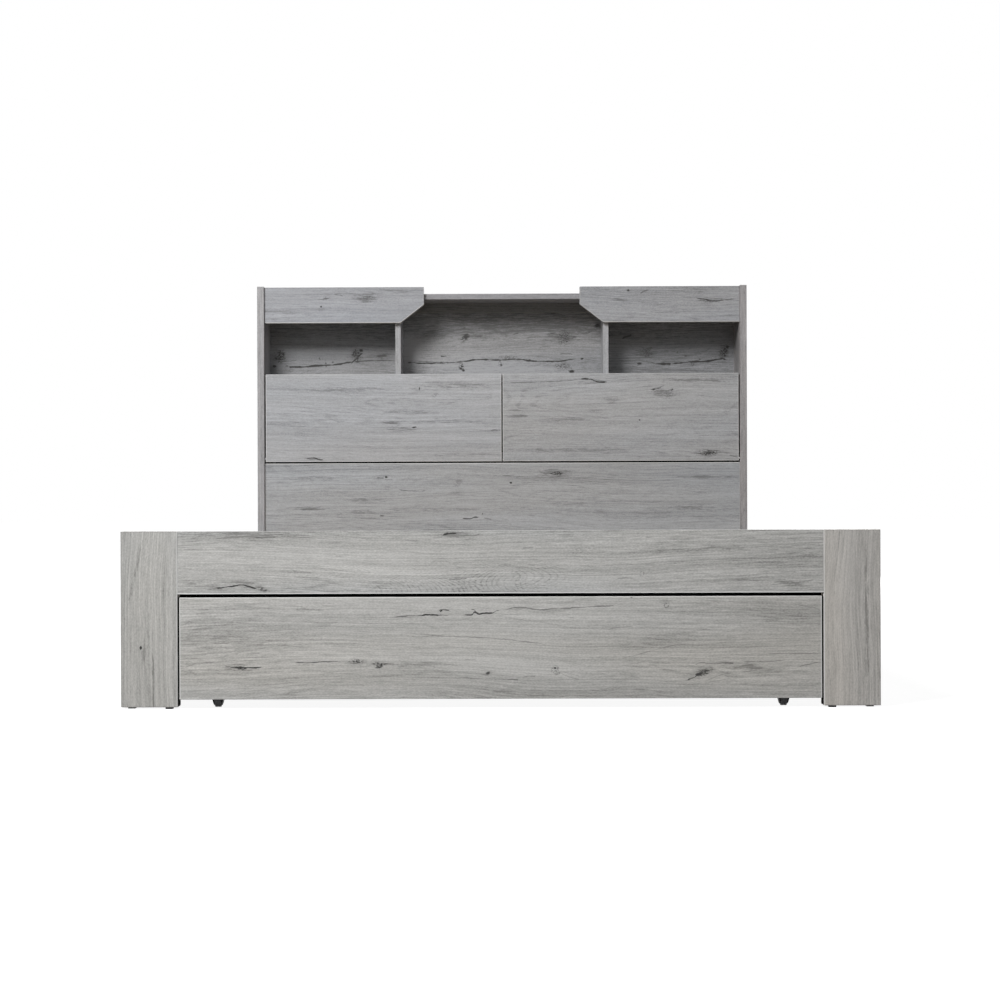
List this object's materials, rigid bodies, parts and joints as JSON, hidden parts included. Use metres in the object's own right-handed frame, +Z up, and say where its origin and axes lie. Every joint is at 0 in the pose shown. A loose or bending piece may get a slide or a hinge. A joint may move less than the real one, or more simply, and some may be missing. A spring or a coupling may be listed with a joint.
{
  "type": "storage bed",
  "caption": "Panel bed in washed oak with a bookcase headboard, drop-flap doors and a wide drawer on castors under the foot end.",
  "frame": {"origin": "on the floor, under the middle of the bed's outline", "axes": "+X across the bed to the right as seen from the foot end, +Y from the footboard to the headboard, +Z up"},
  "size_m": [1.59, 2.26, 1.13],
  "materials": {
    "washed_oak": "white-washed oak print, satin",
    "back_board": "knotty washed-oak print, satin",
    "drawer_board": "plain washed board, matt",
    "pine": "planed softwood, unfinished",
    "zinc_steel": "zinc plated",
    "black_plastic": "moulded, matt",
    "wheel_plastic": "moulded, satin",
    "white_plastic": "moulded nylon",
    "buffer_rubber": "soft rubber",
    "webbing": "woven tape"
  },
  "bodies": {
    "bed_frame": {"headboard_side_left": "washed_oak", "headboard_side_right": "washed_oak", "headboard_fascia_left": "washed_oak", "headboard_fascia_right": "washed_oak", "cubby_divider_left": "washed_oak", "cubby_divider_right": "washed_oak", "headboard_top_shelf": "washed_oak", "cubby_floor_board": "washed_oak", "compartment_floor_board": "washed_oak", "compartment_partition": "washed_oak", "headboard_lower_panel": "washed_oak", "headboard_back_panel": "back_board", "headboard_rear_stretcher": "washed_oak", "headboard_shelf_batten": "washed_oak", "headboard_glides": "black_plastic", "footboard_rail": "washed_oak", "footboard_post_left": "washed_oak", "footboard_post_right": "washed_oak", "footboard_glides": "black_plastic", "side_rail_left": "washed_oak", "side_rail_right": "washed_oak", "slat_ledge_left": "pine", "slat_ledge_right": "pine", "corner_brackets": "zinc_steel", "cross_rail_brackets": "zinc_steel", "bed_bolts": "zinc_steel", "centre_beam": "pine", "beam_hangers": "zinc_steel", "under_bed_cross_rail": "drawer_board", "drawer_buffers": "buffer_rubber", "centre_legs": "pine", "centre_leg_feet": "black_plastic", "slats": "pine", "slat_webbing": "webbing", "flap_outer_pins": "zinc_steel", "flap_centre_pivot": "zinc_steel", "magnet_catches": "white_plastic"},
    "flap_left": {"flap_door_left": "washed_oak", "flap_bushes_left": "white_plastic", "flap_strike_left": "zinc_steel"},
    "flap_right": {"flap_door_right": "washed_oak", "flap_bushes_right": "white_plastic", "flap_strike_right": "zinc_steel"},
    "drawer": {"drawer_front": "washed_oak", "drawer_back": "drawer_board", "drawer_divider": "drawer_board", "drawer_bearers": "pine", "drawer_side_left": "drawer_board", "drawer_side_right": "drawer_board", "drawer_floor_panels": "back_board", "drawer_corner_blocks": "pine", "castor_housings": "black_plastic", "castor_axles": "zinc_steel"},
    "castor_wheel_front_left": {"castor_wheel_front_left": "wheel_plastic"},
    "castor_wheel_front_right": {"castor_wheel_front_right": "wheel_plastic"},
    "castor_wheel_back_left": {"castor_wheel_back_left": "wheel_plastic"},
    "castor_wheel_back_right": {"castor_wheel_back_right": "wheel_plastic"}
  },
  "joints": [
    {"name": "flap_left_hinge", "type": "hinge", "parent": "bed_frame", "child": "flap_left", "pos_m": [-0.38575, 0.9687, 0.56903], "axis": [1, 0, 0], "range_deg": [0, 90]},
    {"name": "flap_right_hinge", "type": "hinge", "parent": "bed_frame", "child": "flap_right", "pos_m": [0.38575, 0.9687, 0.56903], "axis": [1, 0, 0], "range_deg": [0, 90]},
    {"name": "drawer_slide", "type": "slide", "parent": "bed_frame", "child": "drawer", "axis": [0, -1, 0], "range_m": [0, 0.6]},
    {"name": "castor_front_left_spin", "type": "hinge", "parent": "drawer", "child": "castor_wheel_front_left", "pos_m": [-0.5974, -1.087, 0.015], "axis": [1, 0, 0], "continuous": true},
    {"name": "castor_front_right_spin", "type": "hinge", "parent": "drawer", "child": "castor_wheel_front_right", "pos_m": [0.5974, -1.087, 0.015], "axis": [1, 0, 0], "continuous": true},
    {"name": "castor_back_left_spin", "type": "hinge", "parent": "drawer", "child": "castor_wheel_back_left", "pos_m": [-0.5974, -0.49, 0.015], "axis": [1, 0, 0], "continuous": true},
    {"name": "castor_back_right_spin", "type": "hinge", "parent": "drawer", "child": "castor_wheel_back_right", "pos_m": [0.5974, -0.49, 0.015], "axis": [1, 0, 0], "continuous": true}
  ],
  "couplings": [
    {"joint": "castor_front_left_spin", "follows": "drawer_slide", "rad_per_m": 66.667},
    {"joint": "castor_front_right_spin", "follows": "drawer_slide", "rad_per_m": 66.667},
    {"joint": "castor_back_left_spin", "follows": "drawer_slide", "rad_per_m": 66.667},
    {"joint": "castor_back_right_spin", "follows": "drawer_slide", "rad_per_m": 66.667}
  ]
}
